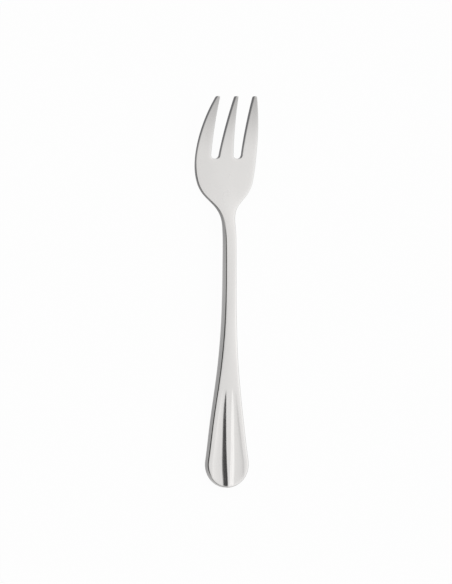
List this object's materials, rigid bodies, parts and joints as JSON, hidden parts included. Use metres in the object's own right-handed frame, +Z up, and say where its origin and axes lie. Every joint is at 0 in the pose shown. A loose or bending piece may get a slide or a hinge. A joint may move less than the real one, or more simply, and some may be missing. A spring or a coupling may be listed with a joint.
{
  "type": "oyster fork",
  "caption": "Small stainless oyster fork with short spread tines on a broad bent head, a slim arched neck and a fluted teardrop handle, for lifting shellfish out of its shell.",
  "frame": {"origin": "middle of the fork's length and width, on the table it lies on", "axes": "+Y along the fork from the handle's end to the tine tips, +X across it to the right seen from above, +Z up out of the face"},
  "size_m": [0.0248, 0.145, 0.0116],
  "materials": {
    "stainless_steel": "polished, with fine lengthwise polishing marks"
  },
  "bodies": {
    "root": {"fork": "stainless_steel"}
  },
  "joints": []
}
